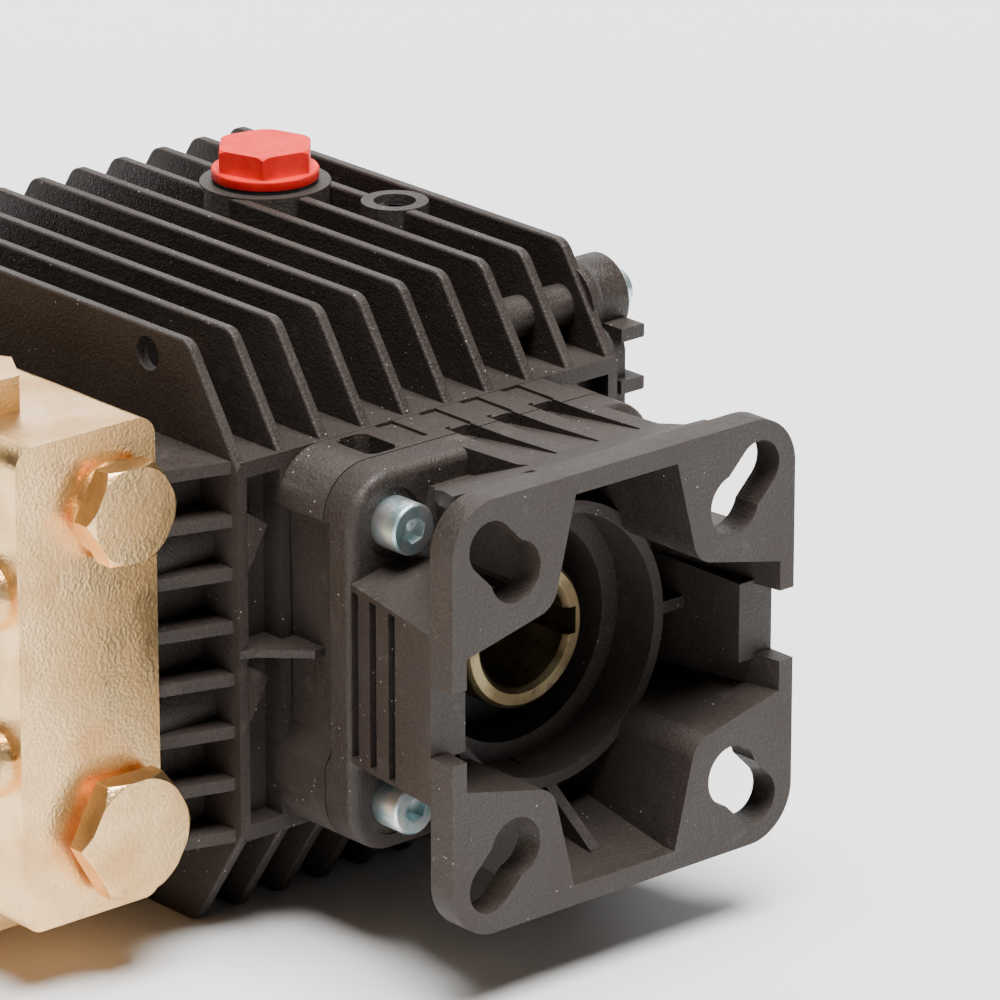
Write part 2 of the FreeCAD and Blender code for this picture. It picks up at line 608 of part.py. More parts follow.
def plunger_screw(index):
    x = wrist_x(index)
    at = (CYLINDERS[index], 0)
    washer = rod("x", at, 8.0, x - 56.5, x - 55)
    head = hexagon("x", at, 10.0, x - 59.5, x - 56.4)
    return union([washer, head, rod("x", at, 2.5, x - 55.1, x - 42)])


def plunger_oil_seals():
    return [ring("x", (y, 0), 13.95, PLUNGER_R + RUN_GAP, -79.7, HEAD_X - 0.1) for y in CYLINDERS]


def packing_retainers():
    return [ring("x", (y, 0), 13.95, PLUNGER_R + 0.1, -84, -79.8) for y in CYLINDERS]


def plunger_packings():
    return [ring("x", (y, 0), 13.95, PLUNGER_R + RUN_GAP, -89.9, -84) for y in CYLINDERS]


# --- brass head ---
def manifold():
    """Forged brass block with a column for each cylinder, two galleries and the valve pockets."""
    block = rounded_block("y", 5.0, -114, HEAD_X, HEAD_Y0, HEAD_Y1, HEAD_BOTTOM, HEAD_TOP)
    columns = [rod("z", (VALVE_X, y), 16.0, HEAD_BOTTOM, HEAD_TOP) for y in CYLINDERS]
    pads = [rod("x", at, 8.5, HEAD_FRONT, -100) for at in HEAD_SCREWS]
    boss = [rod("y", (GALLERY_X, z), radius, HEAD_Y0 - 2, HEAD_Y0 + 1)
            for z, radius in ((SUCTION_Z, 11.9), (DELIVERY_Z, 11.0))]
    bores = []
    for y in CYLINDERS:
        at = (VALVE_X, y)
        bores.append(rod("x", (y, 0), 14.0, -90, HEAD_X + 1))
        bores.append(rod("x", (y, 0), 10.0, VALVE_X, HEAD_X))
        bores.append(rod("z", at, VALVE_R, 14, HEAD_TOP + 1))
        bores.append(rod("z", at, 7.0, -16, 15))
        bores.append(rod("z", at, VALVE_R, HEAD_BOTTOM - 1, -12))
    bores.append(rod("y", (GALLERY_X, SUCTION_Z), SUCTION_R, HEAD_Y0 + 10, HEAD_Y1 + 1))
    bores.append(rod("y", (GALLERY_X, SUCTION_Z), 10.0, HEAD_Y0 - 3, HEAD_Y0 + 11))
    bores.append(rod("y", (GALLERY_X, DELIVERY_Z), DELIVERY_R, HEAD_Y0 + 10, HEAD_Y1 + 1))
    bores.append(rod("y", (GALLERY_X, DELIVERY_Z), 8.0, HEAD_Y0 - 3, HEAD_Y0 + 11))
    bores += [rod("x", at, 4.4, HEAD_FRONT - 1, HEAD_X + 1) for at in HEAD_SCREWS]
    bores += [rod("y", at, 3.0, HEAD_Y1 - 12, HEAD_Y1 + 1) for at in unloader_screw_places()]
    return cut_all(union([block] + columns + pads + boss), bores)


def manifold_screws():
    return [cap_screw("x", at, HEAD_FRONT, 6.5, 8.0, 4.0, 58.0, -1) for at in HEAD_SCREWS]


def gallery_plugs():
    """Hexagon plugs in the near ends of the suction and delivery galleries."""
    plugs = []
    for z, flats, thread in ((SUCTION_Z, 27.0, 9.95), (DELIVERY_Z, 22.0, 7.95)):
        at = (GALLERY_X, z)
        face = HEAD_Y0 - 2
        head = hexagon("y", at, flats, face - 6, face)
        cone = Part.makeCone(flats / 2 + 0.2, flats / 2 + 6.2, 6.0, V(GALLERY_X, face - 6, z), AXES["y"])
        plugs.append(head.common(cone).fuse(rod("y", at, thread, face - 0.1, HEAD_Y0 + 8)))
    return plugs


def valve_caps():
    caps = []
    for y in CYLINDERS:
        for face, out in ((HEAD_TOP, 1), (HEAD_BOTTOM, -1)):
            at = (VALVE_X, y)
            low, high = sorted((face, face + out * 8))
            head = hexagon("z", at, 22.0, low, high)
            stop = sorted((face + out * 0.1, face - out * 9.9))
            cap = head.fuse(rod("z", at, VALVE_R - 0.05, *stop))
            if out > 0:
                cap = cap.fuse(rod("z", at, 4.0, 35, face)).fuse(rod("z", at, 7.0, 34.1, 36))
            caps.append(cap)
    return caps


def valve_seats():
    """Seat rings pressed under the valve discs."""
    seats = []
    for y in CYLINDERS:
        for low in (14.0, -22.5):
            seats.append(ring("z", (VALVE_X, y), VALVE_R, 6.0, low, low + 4.0))
    return seats


def valve(y, seat_top):
    """Valve disc with a short guide stub on top that centres its spring."""
    at = (VALVE_X, y)
    disc = rod("z", at, 8.5, seat_top + 0.02, seat_top + 2.0)
    return disc.fuse(rod("z", at, 3.2, seat_top + 1.9, seat_top + 3.6))


def coil(at, radius, wire, low, high, turns):
    """Round wire spring along Z between two heights."""
    height = high - low - wire
    path = Part.Wire(Part.makeHelix(height / turns, height, radius).Edges)
    section = Part.Wire([Part.makeCircle(wire / 2, V(radius, 0, 0), AXES["y"])])
    spring = path.makePipeShell([section], True, True)
    spring.translate(V(at[0], at[1], low + wire / 2))
    return spring


def suction_valve_springs():
    return [coil((VALVE_X, y), 5.0, 0.9, -16.4, -12.1, 3) for y in CYLINDERS]


def delivery_valve_springs():
    return [coil((VALVE_X, y), 5.0, 1.1, 20.1, 34.0, 5) for y in CYLINDERS]


# --- unloader and hose connections ---
PORT_X = -120.0
UNLOADER_Y0 = HEAD_Y1 + 0.3
UNLOADER_Y1 = HEAD_Y1 + 30.0
UNLOADER_AT = (-94.0, HEAD_Y1 + 15.0)


def unloader_screw_places():
    return [(x, z) for x in (-109.0, -81.0) for z in (8.0, -12.0)]


def unloader_body():
    """Brass bypass block on the far end of the head, with the pressure regulator on top."""
    block = rounded_block("y", 4.0, -116, -76, UNLOADER_Y0, UNLOADER_Y1, -51, HEAD_TOP)
    tower = rod("z", UNLOADER_AT, 12.0, HEAD_TOP - 1, HEAD_TOP + 16)
    ports = [rod("x", (UNLOADER_AT[1], SUCTION_Z), 14.0, PORT_X, -110),
             rod("x", (UNLOADER_AT[1], DELIVERY_Z), 11.0, PORT_X, -110)]
    bores = [
        rod("z", UNLOADER_AT, 6.0, SUCTION_Z, HEAD_TOP - 2),
        rod("z", UNLOADER_AT, 9.0, HEAD_TOP - 4, HEAD_TOP + 18),
        rod("y", (GALLERY_X, SUCTION_Z), SUCTION_R, UNLOADER_Y0 - 1, UNLOADER_AT[1]),
        rod("y", (GALLERY_X, DELIVERY_Z), DELIVERY_R, UNLOADER_Y0 - 1, UNLOADER_AT[1]),
        rod("x", (UNLOADER_AT[1], SUCTION_Z), 10.0, PORT_X - 1, PORT_X + 18),
        rod("x", (UNLOADER_AT[1], DELIVERY_Z), 7.0, PORT_X - 1, PORT_X + 18),
        rod("x", (UNLOADER_AT[1], SUCTION_Z), 6.0, PORT_X + 17, -94),
        rod("x", (UNLOADER_AT[1], DELIVERY_Z), 4.0, PORT_X + 17, -94),
    ]
    bores += [rod("y", at, 3.2, UNLOADER_Y0 - 1, UNLOADER_Y1 + 1) for at in unloader_screw_places()]
    return cut_all(union([block, tower] + ports), bores)


def unloader_screws():
    return [cap_screw("y", at, UNLOADER_Y1, 5.0, 6.0, 3.0, 38.0, 1) for at in unloader_screw_places()]


def unloader_piston():
    """Bypass piston with the spring plate on its stem."""
    body = rod("z", UNLOADER_AT, 5.95, 18, HEAD_TOP - 5)
    stem = rod("z", UNLOADER_AT, 3.0, HEAD_TOP - 6, HEAD_TOP)
    plate = rod("z", UNLOADER_AT, 8.6, HEAD_TOP - 1.8, HEAD_TOP + 0.5)
    return union([body, stem, plate])


def unloader_spring():
    return coil(UNLOADER_AT, 6.6, 2.0, HEAD_TOP + 0.7, HEAD_TOP + 22, 5)


def unloader_knob():
    """Scalloped pressure knob, hollow over the regulator tower."""
    low = HEAD_TOP + 6
    grip = rod("z", UNLOADER_AT, 17.0, low, low + 26)
    grip = grip.makeFillet(2.5, [e for e in grip.Edges if e.BoundBox.ZMin > low + 25.9])
    scallops = []
    for i in range(10):
        angle = radians(36 * i)
        at = (UNLOADER_AT[0] + 18.8 * cos(angle), UNLOADER_AT[1] + 18.8 * sin(angle))
        scallops.append(rod("z", at, 3.4, low - 1, low + 22))
    hollow = [rod("z", UNLOADER_AT, 12.3, low - 1, low + 12), rod("z", UNLOADER_AT, 9.0, low + 11, low + 17)]
    return cut_all(grip, scallops + hollow)


def outlet_fitting():
    """Quick-connect nipple for the high pressure hose."""
    at = (UNLOADER_AT[1], DELIVERY_Z)
    parts = [
        rod("x", at, 6.95, PORT_X, PORT_X + 14), hexagon("x", at, 19.0, PORT_X - 8, PORT_X),
        rod("x", at, 6.6, PORT_X - 30, PORT_X - 7.9), ring("x", at, 7.9, 5.0, PORT_X - 20, PORT_X - 16.5),
    ]
    return union(parts).cut(rod("x", at, 3.6, PORT_X - 31, PORT_X + 15))


def inlet_fitting():
    """Threaded sleeve that holds the swivel nut by its collar."""
    at = (UNLOADER_AT[1], SUCTION_Z)
    parts = [rod("x", at, 9.95, PORT_X, PORT_X + 14), hexagon("x", at, 24.0, PORT_X - 6, PORT_X),
             rod("x", at, 9.0, PORT_X - 22, PORT_X - 5.9), rod("x", at, 11.0, PORT_X - 22, PORT_X - 20)]
    return union(parts).cut(rod("x", at, 6.5, PORT_X - 23, PORT_X + 15))


def inlet_swivel_nut():
    """Garden hose nut that turns on the inlet sleeve."""
    at = (UNLOADER_AT[1], SUCTION_Z)
    low, high = PORT_X - 32, PORT_X - 10
    nut = rod("x", at, 17.0, low, high)
    turns = [radians(a) for a in range(0, 360, 20)]
    grips = [rod("x", (at[0] + 17.6 * cos(t), at[1] + 17.6 * sin(t)), 1.6, low - 1, high + 1) for t in turns]
    hollow = [rod("x", at, 9.0 + RUN_GAP, low - 1, high + 1), rod("x", at, 11.4, low - 1, PORT_X - 19.7),
              rod("x", at, 13.1, low - 1, PORT_X - 22.3)]
    return cut_all(nut, grips + hollow)


# --- every node of the pump ---
def nodes():
    table = {
        "crankcase": crankcase(),
        "mounting_flange": mounting_flange(),
        "flange_gasket": flange_gasket(),
        "flange_screws": flange_screws(),
        "rear_cover": rear_cover(),
        "rear_cover_gasket": rear_cover_gasket(),
        "rear_cover_screws": rear_cover_screws(),
        "sight_glass": sight_glass(),
        "sight_glass_ring": sight_glass_ring(),
        "oil_drain_plug": oil_drain_plug(),
        "oil_drain_washer": oil_drain_washer(),
        "oil_fill_plug": oil_fill_plug(),
        "oil_fill_seal": oil_fill_seal(),
        "deck_screw_plug": deck_screw_plug(),
        "crankshaft": crankshaft(),
        "bearing_outer_rings": bearing_outer_rings(),
        "bearing_inner_rings": bearing_inner_rings(),
        "bearing_balls": bearing_balls(),
        "shaft_oil_seal": shaft_oil_seal(),
        "end_cover": end_cover(),
        "end_cover_screws": end_cover_screws(),
        "plunger_oil_seals": plunger_oil_seals(),
        "packing_retainers": packing_retainers(),
        "plunger_packings": plunger_packings(),
        "manifold": manifold(),
        "manifold_screws": manifold_screws(),
        "gallery_plugs": gallery_plugs(),
        "valve_caps": valve_caps(),
        "valve_seats": valve_seats(),
        "suction_valve_springs": suction_valve_springs(),
        "delivery_valve_springs": delivery_valve_springs(),
        "unloader_body": unloader_body(),
        "unloader_screws": unloader_screws(),
        "unloader_piston": unloader_piston(),
        "unloader_spring": unloader_spring(),
        "unloader_knob": unloader_knob(),
        "outlet_fitting": outlet_fitting(),
        "inlet_fitting": inlet_fitting(),
        "inlet_swivel_nut": inlet_swivel_nut(),
    }
    for index, y in enumerate(CYLINDERS):
        number = index + 1
        table["connecting_rod_%d" % number] = connecting_rod(index)
        table["wrist_pin_%d" % number] = wrist_pin(index)
        table["plunger_guide_%d" % number] = plunger_guide(index)
        table["plunger_%d" % number] = plunger(index)
        table["plunger_screw_%d" % number] = plunger_screw(index)
        table["suction_valve_%d" % number] = valve(y, -18.5)
        table["delivery_valve_%d" % number] = valve(y, 18.0)
    return table


os.makedirs("parts", exist_ok=True)
for name, shape in nodes().items():
    solids = shape if isinstance(shape, list) else [shape]
    whole = solids[0] if len(solids) == 1 else Part.makeCompound(solids)
    whole.exportStep("parts/%s.step" % name)
    print(name, len(whole.Solids), round(whole.Volume), whole.isValid())
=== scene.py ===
import json
import math

import bmesh
import bpy
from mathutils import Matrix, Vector

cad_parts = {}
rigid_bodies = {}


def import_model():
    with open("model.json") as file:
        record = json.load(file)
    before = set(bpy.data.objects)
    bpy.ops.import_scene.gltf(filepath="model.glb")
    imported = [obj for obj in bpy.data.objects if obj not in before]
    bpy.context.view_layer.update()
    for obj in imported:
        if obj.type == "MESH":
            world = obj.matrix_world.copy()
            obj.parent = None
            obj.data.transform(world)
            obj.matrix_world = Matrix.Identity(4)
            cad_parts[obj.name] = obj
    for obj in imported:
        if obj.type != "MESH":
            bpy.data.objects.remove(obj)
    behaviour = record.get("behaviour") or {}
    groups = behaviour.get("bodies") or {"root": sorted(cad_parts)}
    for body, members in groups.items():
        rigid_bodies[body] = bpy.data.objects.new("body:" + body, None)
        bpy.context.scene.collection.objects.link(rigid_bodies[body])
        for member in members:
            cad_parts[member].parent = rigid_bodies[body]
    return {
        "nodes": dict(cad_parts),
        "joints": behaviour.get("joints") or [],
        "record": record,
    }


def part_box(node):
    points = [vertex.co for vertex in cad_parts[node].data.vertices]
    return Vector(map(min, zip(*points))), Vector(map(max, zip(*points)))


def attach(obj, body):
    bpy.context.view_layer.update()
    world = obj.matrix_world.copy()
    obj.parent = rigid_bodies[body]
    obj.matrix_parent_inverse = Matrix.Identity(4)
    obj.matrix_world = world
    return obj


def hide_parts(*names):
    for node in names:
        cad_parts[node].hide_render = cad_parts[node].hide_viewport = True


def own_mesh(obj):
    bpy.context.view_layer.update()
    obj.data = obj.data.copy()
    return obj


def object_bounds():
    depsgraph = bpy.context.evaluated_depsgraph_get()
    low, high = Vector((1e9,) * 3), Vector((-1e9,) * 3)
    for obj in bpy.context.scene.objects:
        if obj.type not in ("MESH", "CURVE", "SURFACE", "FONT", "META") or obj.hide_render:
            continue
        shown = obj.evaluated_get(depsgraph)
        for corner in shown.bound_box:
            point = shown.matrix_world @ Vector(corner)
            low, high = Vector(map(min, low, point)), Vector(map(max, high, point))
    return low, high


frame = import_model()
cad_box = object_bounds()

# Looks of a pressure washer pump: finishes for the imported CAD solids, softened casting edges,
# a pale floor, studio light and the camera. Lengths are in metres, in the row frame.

MM = 0.001

# Camera, at the photograph's viewing angle.
CAMERA_YAW = math.radians(42.3)
CAMERA_PITCH = math.radians(21.17)
CAMERA_DISTANCE = 1.6925
CAMERA_LENS = 274.5
CAMERA_SENSOR = 36.0
CAMERA_REACH = 50.0
AIM_RIGHT = -0.0282
AIM_UP = 0.0388

# How far the floor reaches, and the place, size and strength of each light. The top light is a wide
# soft sun, so that the floor stays pale to its edge. The backdrop is what the camera sees beyond it.
FLOOR_HALF = 12.0
WORLD_LIGHT = 0.04
BACKDROP = 2.9
LIGHT_AIM = (0.0, 0.1, 0.0)
TOP_LIGHT = 9.2
TOP_LIGHT_ANGLE = math.radians(42)
TOP_LIGHT_PLACE = (-0.05, -0.09, 1.35)
FRONT_LIGHT = 1.0
FRONT_LIGHT_SIZE = 1.0
FRONT_LIGHT_PLACE = (0.55, -1.5, 0.55)
RIM_LIGHT = 13.0
RIM_LIGHT_SIZE = 1.2
RIM_LIGHT_PLACE = (1.0, 1.35, 0.9)

# Edge rounding of each finish, how sharp an edge has to be to get it, and in how many steps. Points
# closer than the weld are one point, and faces flatter than the flat angle are one face.
EDGE_ANGLE = math.radians(32)
EDGE_STEPS = 3
FLAT_ANGLE = math.radians(0.6)
WELD = 0.002 * MM
EDGE_WIDTHS = {
    "cast_body": 0.75 * MM,
    "brass": 0.35 * MM,
    "red_plastic": 0.65 * MM,
    "black_plastic": 0.3 * MM,
    "zinc_screw": 0.22 * MM,
    "dark_screw": 0.2 * MM,
    "sight_ring": 0.2 * MM,
    "shaft_steel": 0.3 * MM,
    "guide_steel": 0.2 * MM,
    "rod_alloy": 0.4 * MM,
}

# How far a spring's wire reaches from the middle of the valve or piston that presses on it.
COIL_REACH = 10 * MM
COIL_WELD = 0.001 * MM

# Places of a Mix node's two colour inputs and of its colour output.
MIX_COLOURS = slice(6, 8)
MIX_RESULT = 2


class Finish:
    """A material under construction: its nodes, and the shader they feed."""

    def __init__(self, name, roughness, metallic=0.0):
        self.material = bpy.data.materials.new(name)
        self.material.use_nodes = True
        self.tree = self.material.node_tree
        self.shader = self.tree.nodes["Principled BSDF"]
        self.shader.inputs["Roughness"].default_value = roughness
        self.shader.inputs["Metallic"].default_value = metallic
        coordinates = self.tree.nodes.new("ShaderNodeTexCoord")
        self.place = coordinates.outputs["Object"]

    def link(self, source, target):
        self.tree.links.new(source, target)

    def set(self, name, value):
        """Sets one of the shader's own values, the same all over the surface."""
        self.shader.inputs[name].default_value = value

    def noise(self, scale, detail=3.0, stretch=None):
        """Smooth random values 0 to 1 with `scale` cells a metre, stretched along an axis if asked."""
        texture = self.tree.nodes.new("ShaderNodeTexNoise")
        texture.inputs["Scale"].default_value = scale
        texture.inputs["Detail"].default_value = detail
        if stretch is None:
            self.link(self.place, texture.inputs["Vector"])
        else:
            mapping = self.tree.nodes.new("ShaderNodeMapping")
            mapping.inputs["Scale"].default_value = stretch
            self.link(self.place, mapping.inputs["Vector"])
            self.link(mapping.outputs["Vector"], texture.inputs["Vector"])
        return texture.outputs["Fac"]

    def specks(self, scale, radius):
        """1 inside small scattered dots and 0 elsewhere."""
        cells = self.tree.nodes.new("ShaderNodeTexVoronoi")
        cells.inputs["Scale"].default_value = scale
        self.link(self.place, cells.inputs["Vector"])
        soft_edge = radius * 0.6
        return self.band(cells.outputs["Distance"], radius, soft_edge)

    def band(self, source, low, high):
        """Maps low..high to 0..1, held at both ends."""
        span = self.tree.nodes.new("ShaderNodeMapRange")
        span.inputs["From Min"].default_value = low
        span.inputs["From Max"].default_value = high
        self.link(source, span.inputs["Value"])
        return span.outputs["Result"]

    def times(self, first, second):
        """The product of two values, each a socket or a number."""
        return self.math("MULTIPLY", first, second)

    def math(self, operation, first, second):
        """A Math node's result for two values, each a socket or a number."""
        node = self.tree.nodes.new("ShaderNodeMath")
        node.operation = operation
        for socket, value in zip(node.inputs, (first, second)):
            if isinstance(value, (int, float)):
                socket.default_value = value
            else:
                self.link(value, socket)
        return node.outputs["Value"]

    def blend(self, factor, first, second):
        """Mixes two colours, each a socket or a colour, by a value."""
        node = self.tree.nodes.new("ShaderNodeMix")
        node.data_type = "RGBA"
        self.link(factor, node.inputs["Factor"])
        for socket, value in zip(node.inputs[MIX_COLOURS], (first, second)):
            if isinstance(value, tuple):
                socket.default_value = (*value, 1.0)
            else:
                self.link(value, socket)
        return node.outputs[MIX_RESULT]

    def colour(self, source):
        self.link(source, self.shader.inputs["Base Color"])

    def gloss(self, source, low, high):
        """Lets the roughness wander between two values."""
        span = self.tree.nodes.new("ShaderNodeMapRange")
        span.inputs["To Min"].default_value = low
        span.inputs["To Max"].default_value = high
        self.link(source, span.inputs["Value"])
        self.link(span.outputs["Result"], self.shader.inputs["Roughness"])

    def bump(self, *layers):
        """Raises the surface by pairs of a height pattern and its depth in metres."""
        previous = None
        for height, depth in layers:
            node = self.tree.nodes.new("ShaderNodeBump")
            node.inputs["Distance"].default_value = depth
            self.link(height, node.inputs["Height"])
            if previous is not None:
                self.link(previous, node.inputs["Normal"])
            previous = node.outputs["Normal"]
        self.link(previous, self.shader.inputs["Normal"])


def cast_body():
    """Sand-textured die casting under a thin warm dark coating, with grey specks where it is worn."""
    finish = Finish("cast_body", 0.6)
    finish.set("Specular IOR Level", 0.3)
    clouds = finish.band(finish.noise(38, 4), 0.35, 0.68)
    grain = finish.noise(1500, 2)
    coat = finish.blend(clouds, (0.0212, 0.0160, 0.0130), (0.0320, 0.0245, 0.0203))
    grainy = finish.blend(finish.band(grain, 0.3, 0.75), coat, (0.047, 0.037, 0.0315))
    thin = finish.band(finish.noise(160, 4), 0.62, 0.78)
    thinned = finish.blend(finish.times(thin, 0.35), grainy, (0.11, 0.091, 0.078))
    dots = finish.times(finish.specks(420, 0.10), finish.band(finish.noise(60, 1), 0.52, 0.6))
    finish.colour(finish.blend(dots, thinned, (0.42, 0.39, 0.36)))
    finish.gloss(clouds, 0.46, 0.62)
    finish.bump((grain, 0.2 * MM), (finish.noise(420, 3), 0.16 * MM), (finish.noise(70, 2), 0.2 * MM))
    return finish.material


def gasket():
    """Pressed fibre sheet."""
    finish = Finish("gasket", 0.85)
    fibres = finish.noise(900, 4, (1, 1, 4))
    finish.colour(finish.blend(fibres, (0.018, 0.018, 0.018), (0.06, 0.057, 0.052)))
    finish.bump((fibres, 0.15 * MM))
    return finish.material


def zinc_screw():
    """Bright zinc with a blue-green passivated tint in places."""
    finish = Finish("zinc_screw", 0.4, 1.0)
    tint = finish.band(finish.noise(190, 2), 0.42, 0.62)
    finish.colour(finish.blend(tint, (0.86, 0.87, 0.87), (0.50, 0.68, 0.70)))
    scuffs = finish.noise(1400, 3)
    finish.gloss(scuffs, 0.32, 0.52)
    finish.bump((scuffs, 0.05 * MM))
    return finish.material


def turned_metal(name, colour, stain, roughness, stretch):
    """Metal with fine tool marks in a stretched noise, and a second colour in soft patches."""
    finish = Finish(name, roughness, 1.0)
    patches = finish.band(finish.noise(120, 3), 0.4, 0.7)
    finish.colour(finish.blend(patches, colour, stain))
    marks = finish.noise(260, 4, stretch)
    finish.gloss(marks, roughness * 0.7, roughness * 1.4)
    finish.bump((marks, 0.05 * MM))
    return finish.material


def sight_glass():
    """Clear window with a faint amber tint from the oil film behind it."""
    finish = Finish("sight_glass", 0.06)
    film = finish.band(finish.noise(150, 2), 0.35, 0.65)
    finish.colour(finish.blend(film, (0.80, 0.66, 0.36), (0.93, 0.88, 0.72)))
    finish.set("Transmission Weight", 0.75)
    finish.set("IOR", 1.5)
    finish.bump((finish.noise(300, 1), 0.02 * MM))
    return finish.material


def dark_screw():
    """Black oxide steel, rubbed brown on its high spots."""
    finish = Finish("dark_screw", 0.42, 0.85)
    rubbed = finish.band(finish.noise(350, 3), 0.5, 0.75)
    finish.colour(finish.blend(rubbed, (0.022, 0.022, 0.024), (0.085, 0.078, 0.070)))
    finish.gloss(rubbed, 0.32, 0.55)
    finish.bump((finish.noise(1200, 2), 0.08 * MM))
    return finish.material


def red_plastic():
    """Moulded red plastic, slightly cloudy, with fine scratches."""
    finish = Finish("red_plastic", 0.42)
    clouds = finish.band(finish.noise(220, 3), 0.35, 0.7)
    finish.colour(finish.blend(clouds, (0.82, 0.010, 0.008), (0.92, 0.028, 0.020)))
    finish.set("Specular IOR Level", 0.2)
    finish.set("Subsurface Weight", 0.12)
    finish.set("Subsurface Scale", 1.2 * MM)
    finish.set("Subsurface Radius", (1.0, 0.2, 0.15))
    scratches = finish.noise(700, 4, (1, 3, 1))
    finish.gloss(scratches, 0.42, 0.6)
    finish.bump((scratches, 0.08 * MM), (finish.noise(1600, 1), 0.06 * MM))
    return finish.material


def black_rubber():
    """Nitrile rubber with a dusty bloom."""
    finish = Finish("black_rubber", 0.7)
    bloom = finish.band(finish.noise(260, 3), 0.45, 0.8)
    finish.colour(finish.blend(bloom, (0.012, 0.012, 0.012), (0.045, 0.043, 0.040)))
    finish.bump((finish.noise(1500, 2), 0.1 * MM))
    return finish.material


def shaft_steel():
    """Turned steel under a film of brown oil."""
    finish = Finish("shaft_steel", 0.42, 0.9)
    oil = finish.band(finish.noise(90, 4), 0.38, 0.62)
    oiled = finish.blend(oil, (0.31, 0.25, 0.135), (0.15, 0.108, 0.055))
    pits = finish.band(finish.noise(520, 3), 0.62, 0.74)
    finish.colour(finish.blend(finish.times(pits, 0.6), oiled, (0.07, 0.05, 0.035)))
    rings = finish.noise(240, 3, (1, 14, 1))
    finish.gloss(rings, 0.3, 0.52)
    finish.bump((rings, 0.06 * MM), (pits, 0.04 * MM))
    return finish.material


def brass():
    """Forged brass, pale gold, dulled in patches, with a fine blasted grain."""
    finish = Finish("brass", 0.36, 1.0)
    dull = finish.band(finish.noise(70, 4), 0.4, 0.66)
    toned = finish.blend(dull, (0.97, 0.64, 0.30), (0.83, 0.49, 0.20))
    stains = finish.band(finish.noise(240, 3), 0.63, 0.78)
    finish.colour(finish.blend(finish.times(stains, 0.5), toned, (0.34, 0.22, 0.11)))
    grain = finish.noise(1100, 2)
    finish.gloss(dull, 0.28, 0.45)
    finish.bump((grain, 0.12 * MM), (finish.noise(90, 2), 0.15 * MM))
    return finish.material


def ceramic_white():
    """Polished white ceramic."""
    finish = Finish("ceramic_white", 0.12)
    clouds = finish.noise(120, 2)
    finish.colour(finish.blend(clouds, (0.84, 0.83, 0.78), (0.90, 0.89, 0.85)))
    finish.gloss(finish.noise(600, 2), 0.08, 0.18)
    return finish.material


def black_plastic():
    """Moulded black plastic with a fine spark-eroded grain."""
    finish = Finish("black_plastic", 0.5)
    grain = finish.noise(1300, 2)
    finish.colour(finish.blend(grain, (0.014, 0.014, 0.015), (0.040, 0.040, 0.042)))
    finish.gloss(finish.noise(160, 3), 0.38, 0.6)
    finish.bump((grain, 0.12 * MM))
    return finish.material


# Look of each turned metal: its colour, its stain, its roughness and how its tool marks stretch.
TURNED_METALS = {
    "sight_ring": ((0.72, 0.72, 0.71), (0.5, 0.5, 0.48), 0.3, (12, 1, 1)),
    "aluminium_washer": ((0.78, 0.78, 0.77), (0.6, 0.59, 0.56), 0.35, (1, 8, 1)),
    "bearing_steel": ((0.62, 0.62, 0.63), (0.5, 0.49, 0.47), 0.16, (1, 20, 1)),
    "rod_alloy": ((0.55, 0.55, 0.54), (0.4, 0.39, 0.37), 0.5, (1, 1, 1)),
    "guide_steel": ((0.6, 0.6, 0.6), (0.46, 0.45, 0.42), 0.26, (14, 1, 1)),
    "valve_steel": ((0.56, 0.56, 0.55), (0.44, 0.43, 0.41), 0.24, (1, 1, 10)),
}


def finishes():
    """Every material slot of the record with its finish."""
    made = {
        "cast_body": cast_body(),
        "gasket": gasket(),
        "zinc_screw": zinc_screw(),
        "sight_glass": sight_glass(),
        "dark_screw": dark_screw(),
        "red_plastic": red_plastic(),
        "black_rubber": black_rubber(),
        "shaft_steel": shaft_steel(),
        "brass": brass(),
        "ceramic_white": ceramic_white(),
        "black_plastic": black_plastic(),
    }
    for slot, look in TURNED_METALS.items():
        made[slot] = turned_metal(slot, *look)
    return made


def soften(piece, width):
    """Rounds the sharp edges of a CAD solid with modifiers, and leaves its own mesh unchanged."""
    weld = piece.modifiers.new("join_faces", "WELD")
    weld.merge_threshold = WELD
    flat = piece.modifiers.new("merge_flats", "DECIMATE")
    flat.decimate_type = "DISSOLVE"
    flat.angle_limit = FLAT_ANGLE
    bevel = piece.modifiers.new("soft_edges", "BEVEL")
    bevel.width = width
    bevel.segments = EDGE_STEPS
    bevel.limit_method = "ANGLE"
    bevel.angle_limit = EDGE_ANGLE
    bevel.harden_normals = True
    bevel.use_clamp_overlap = True


def dress(frame, materials):
    """Gives every CAD node its finish, and rounds the edges that show."""
    for part in frame["record"]["subparts"]:
        piece = frame["nodes"][part["node"]]
        slot = part["material_slot"]
        for place in piece.material_slots:
            place.material = materials[slot]
        if slot in EDGE_WIDTHS:
            soften(piece, EDGE_WIDTHS[slot])


def copy_coil(node, name, y):
    """A new piece with the one coil of a spring node that lies around this y."""
    mesh = bmesh.new()
    mesh.from_mesh(node.data)
    others = [point for point in mesh.verts if abs(point.co.y - y) > COIL_REACH]
    bmesh.ops.delete(mesh, geom=others, context="VERTS")
    bmesh.ops.remove_doubles(mesh, verts=mesh.verts, dist=COIL_WELD)
    for face in mesh.faces:
        face.smooth = True
    data = bpy.data.meshes.new(name)
    mesh.to_mesh(data)
    mesh.free()
    piece = bpy.data.objects.new(name, data)
    bpy.context.scene.collection.objects.link(piece)
    return piece


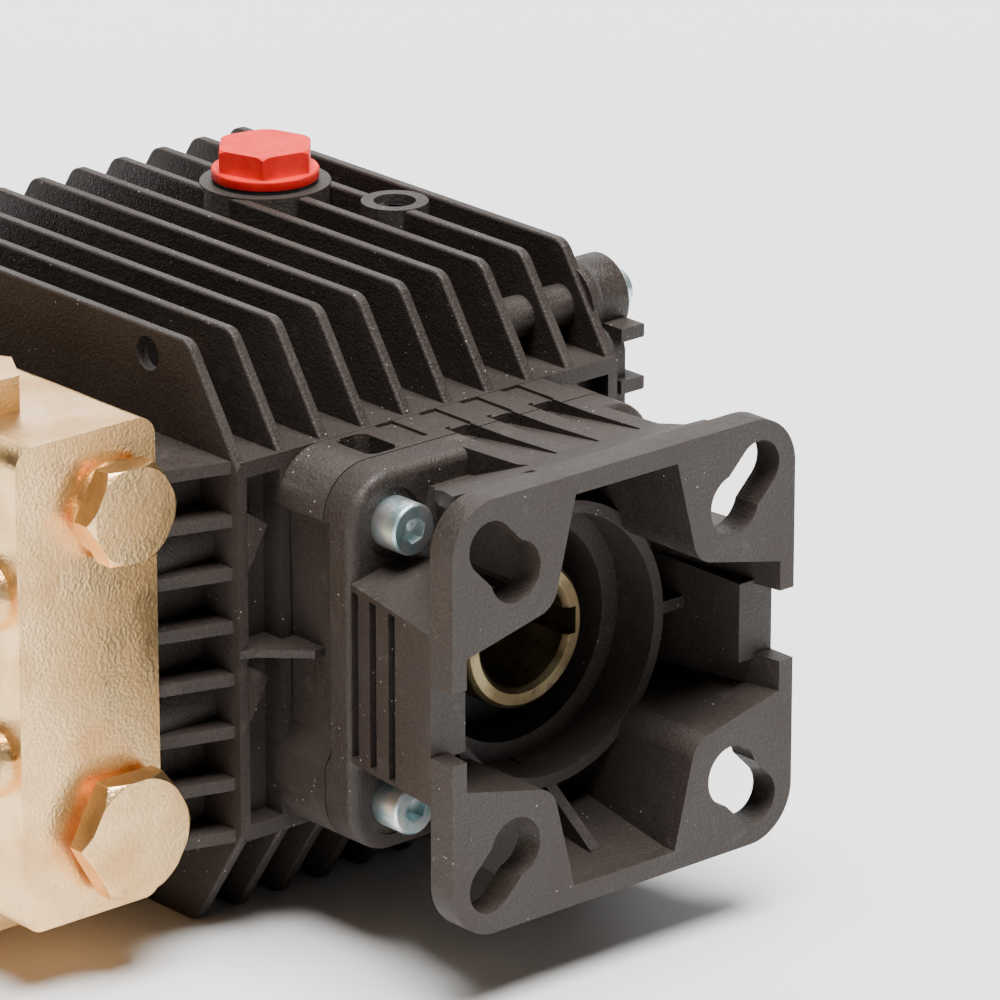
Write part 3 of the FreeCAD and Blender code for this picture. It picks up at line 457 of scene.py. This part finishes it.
def fit_springs(frame, material):
    """Makes a piece of each spring node's coil around its valve or piston, fixed to the joint's parent
    body, and hides the spring node.
    """
    for joint in frame["joints"]:
        for change in joint.get("deforming_nodes", []):
            node = change["node"]
            low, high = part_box(joint["child"])
            middle = (low + high) / 2
            coil = copy_coil(frame["nodes"][node], joint["child"] + "_spring", middle.y)
            coil.data.materials.append(material)
            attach(coil, joint["parent"])
            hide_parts(node)
            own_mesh(coil)


def pale_surface():
    """Matt, almost white studio paper."""
    finish = Finish("studio_floor", 0.9)
    finish.colour(finish.blend(finish.noise(3, 2), (0.90, 0.90, 0.90), (0.93, 0.93, 0.93)))
    return finish.material


def lay_floor(height):
    """A square floor at this height, which isn't part of the object."""
    mesh = bpy.data.meshes.new("studio_floor")
    corners = [(-1, -1), (1, -1), (1, 1), (-1, 1)]
    points = [(FLOOR_HALF * x, FLOOR_HALF * y, height) for x, y in corners]
    mesh.from_pydata(points, [], [(0, 1, 2, 3)])
    mesh.materials.append(pale_surface())
    floor = bpy.data.objects.new("studio_floor", mesh)
    bpy.context.scene.collection.objects.link(floor)


def facing(place, target):
    """The turn that points a camera or a lamp at this place towards its target."""
    return (target - place).to_track_quat("-Z", "Y").to_euler()


def hang_light(lamp, place, power):
    """Puts a lamp in its place, turned towards the object."""
    lamp.energy = power
    holder = bpy.data.objects.new(lamp.name, lamp)
    holder.location = place
    holder.rotation_euler = facing(Vector(place), Vector(LIGHT_AIM))
    bpy.context.scene.collection.objects.link(holder)


def area_light(name, place, size, power):
    lamp = bpy.data.lights.new(name, "AREA")
    lamp.shape = "SQUARE"
    lamp.size = size
    hang_light(lamp, place, power)


def soft_sun(name, place, angle, power):
    lamp = bpy.data.lights.new(name, "SUN")
    lamp.angle = angle
    hang_light(lamp, place, power)


def pale_world():
    """A world that lights the object faintly, and that the camera sees as a pale backdrop."""
    world = bpy.data.worlds.new("studio")
    world.use_nodes = True
    tree = world.node_tree
    background = tree.nodes["Background"]
    background.inputs["Color"].default_value = (1.0, 1.0, 1.0, 1.0)
    paths = tree.nodes.new("ShaderNodeLightPath")
    strength = tree.nodes.new("ShaderNodeMapRange")
    strength.inputs["To Min"].default_value = WORLD_LIGHT
    strength.inputs["To Max"].default_value = BACKDROP
    tree.links.new(paths.outputs["Is Camera Ray"], strength.inputs["Value"])
    tree.links.new(strength.outputs["Result"], background.inputs["Strength"])
    bpy.context.scene.world = world


def light_studio():
    """The world, a soft light from above, and two weak ones from the front and from behind."""
    pale_world()
    soft_sun("top_light", TOP_LIGHT_PLACE, TOP_LIGHT_ANGLE, TOP_LIGHT)
    area_light("front_light", FRONT_LIGHT_PLACE, FRONT_LIGHT_SIZE, FRONT_LIGHT)
    area_light("rim_light", RIM_LIGHT_PLACE, RIM_LIGHT_SIZE, RIM_LIGHT)


def set_camera():
    """The camera looks from the flange's side, down and across, past the object's origin."""
    back = Vector((
        -math.sin(CAMERA_YAW) * math.cos(CAMERA_PITCH),
        -math.cos(CAMERA_YAW) * math.cos(CAMERA_PITCH),
        math.sin(CAMERA_PITCH),
    ))
    right = Vector((math.cos(CAMERA_YAW), -math.sin(CAMERA_YAW), 0.0))
    up = back.cross(right)
    lens = bpy.data.cameras.new("camera")
    lens.lens = CAMERA_LENS
    lens.sensor_width = CAMERA_SENSOR
    lens.clip_end = CAMERA_REACH
    camera = bpy.data.objects.new("camera", lens)
    camera.location = back * CAMERA_DISTANCE
    target = right * AIM_RIGHT + up * AIM_UP
    camera.rotation_euler = facing(camera.location, target)
    bpy.context.scene.collection.objects.link(camera)
    bpy.context.scene.camera = camera


set_camera()
materials = finishes()
dress(frame, materials)
fit_springs(frame, materials["valve_steel"])
lay_floor(cad_box[0].z)
light_studio()
